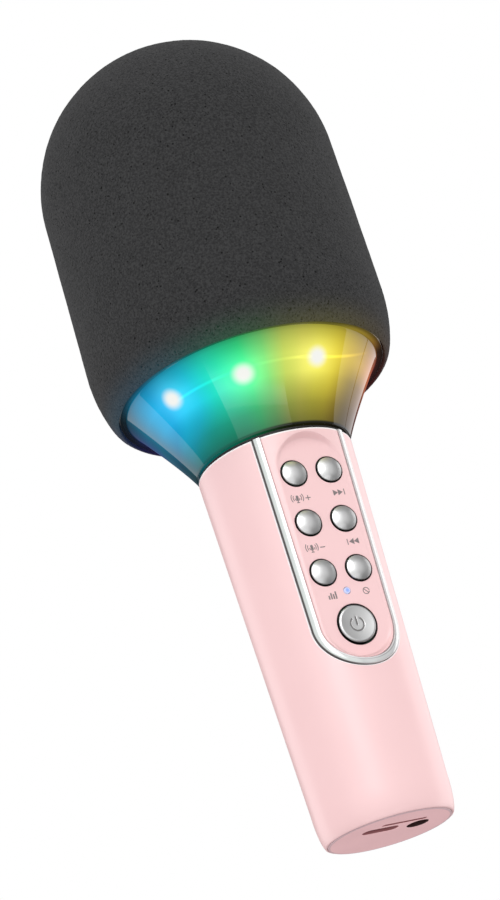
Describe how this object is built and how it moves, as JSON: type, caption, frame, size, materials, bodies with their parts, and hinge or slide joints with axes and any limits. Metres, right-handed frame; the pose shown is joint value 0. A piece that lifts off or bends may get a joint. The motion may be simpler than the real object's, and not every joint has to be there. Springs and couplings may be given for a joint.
{
  "type": "karaoke microphone",
  "caption": "Handheld karaoke microphone with a foam head, a flared light-up neck, a built-in speaker and a button panel on its tapered handle.",
  "frame": {"origin": "middle of the end cap's flat face, on which the microphone stands", "axes": "+Z along the handle with the head up, the button panel faces -Y, +X to the right of the panel"},
  "size_m": [0.0906, 0.0906, 0.25],
  "materials": {
    "pink_shell": "satin",
    "pink_cap": "matte",
    "silver_trim": "polished",
    "silver_button": "satin",
    "indicator_light": "gloss",
    "grey_foam": "matte",
    "smoky_diffuser": "gloss",
    "black_rubber": "matte",
    "black_plastic": "matte",
    "white_plastic": "satin",
    "circuit_board": "satin",
    "bright_steel": "satin",
    "speaker_steel": "satin",
    "magnet_iron": "matte",
    "speaker_paper": "matte",
    "capsule_metal": "satin",
    "battery_can": "satin",
    "light_source": "gloss",
    "wire_jacket": "satin"
  },
  "bodies": {
    "body": {"handle_sleeve": "pink_shell", "control_panel": "pink_shell", "panel_trim": "silver_trim", "end_cap": "pink_cap", "indicator_lens": "indicator_light", "switch_mic_up": "black_plastic", "switch_mic_down": "black_plastic", "switch_mode": "black_plastic", "switch_next_track": "black_plastic", "switch_previous_track": "black_plastic", "switch_mute": "black_plastic", "switch_power": "black_plastic", "button_board": "circuit_board", "main_board": "circuit_board", "board_link": "black_plastic", "audio_chip": "black_plastic", "usb_socket": "bright_steel", "card_socket": "bright_steel", "aux_jack": "black_plastic", "chassis": "white_plastic", "chassis_screw_a": "bright_steel", "chassis_screw_b": "bright_steel", "battery": "battery_can", "neck_gasket": "black_rubber", "diffuser": "smoky_diffuser", "neck_frame": "white_plastic", "light_board": "white_plastic", "led_1": "light_source", "led_2": "light_source", "led_3": "light_source", "led_4": "light_source", "led_5": "light_source", "led_6": "light_source", "led_7": "light_source", "led_8": "light_source", "led_9": "light_source", "speaker_plate": "black_plastic", "speaker_frame": "speaker_steel", "speaker_magnet": "magnet_iron", "speaker_screw_a": "bright_steel", "speaker_screw_b": "bright_steel", "speaker_screw_c": "bright_steel", "head_cage": "black_plastic", "capsule_bridge": "black_plastic", "capsule_holder": "black_rubber", "mic_capsule": "capsule_metal", "speaker_lead": "wire_jacket", "capsule_lead": "wire_jacket", "battery_lead": "wire_jacket"},
    "windscreen": {"foam_windscreen": "grey_foam"},
    "cone": {"speaker_cone": "speaker_paper"},
    "key_mic_up": {"button_mic_up": "silver_button"},
    "key_mic_down": {"button_mic_down": "silver_button"},
    "key_mode": {"button_mode": "silver_button"},
    "key_next_track": {"button_next_track": "silver_button"},
    "key_previous_track": {"button_previous_track": "silver_button"},
    "key_mute": {"button_mute": "silver_button"},
    "key_power": {"button_power": "silver_button"}
  },
  "joints": [
    {"name": "windscreen_lift", "type": "slide", "parent": "body", "child": "windscreen", "axis": [0, 0, 1], "range_m": [0, 0.115]},
    {"name": "cone_stroke", "type": "slide", "parent": "body", "child": "cone", "axis": [0, 0, 1], "range_m": [-0.0008, 0.0008], "stiffness_N_per_m": 900},
    {"name": "press_mic_up", "type": "slide", "parent": "body", "child": "key_mic_up", "axis": [0, 0.9992, 0.0401], "range_m": [0, 0.0005], "stiffness_N_per_m": 1200, "springref_m": -0.0005},
    {"name": "press_mic_down", "type": "slide", "parent": "body", "child": "key_mic_down", "axis": [0, 0.9992, 0.0401], "range_m": [0, 0.0005], "stiffness_N_per_m": 1200, "springref_m": -0.0005},
    {"name": "press_mode", "type": "slide", "parent": "body", "child": "key_mode", "axis": [0, 0.9992, 0.0401], "range_m": [0, 0.0005], "stiffness_N_per_m": 1200, "springref_m": -0.0005},
    {"name": "press_next_track", "type": "slide", "parent": "body", "child": "key_next_track", "axis": [0, 0.9992, 0.0401], "range_m": [0, 0.0005], "stiffness_N_per_m": 1200, "springref_m": -0.0005},
    {"name": "press_previous_track", "type": "slide", "parent": "body", "child": "key_previous_track", "axis": [0, 0.9992, 0.0401], "range_m": [0, 0.0005], "stiffness_N_per_m": 1200, "springref_m": -0.0005},
    {"name": "press_mute", "type": "slide", "parent": "body", "child": "key_mute", "axis": [0, 0.9992, 0.0401], "range_m": [0, 0.0005], "stiffness_N_per_m": 1200, "springref_m": -0.0005},
    {"name": "press_power", "type": "slide", "parent": "body", "child": "key_power", "axis": [0, 0.9992, 0.0401], "range_m": [0, 0.0005], "stiffness_N_per_m": 1200, "springref_m": -0.0005}
  ]
}
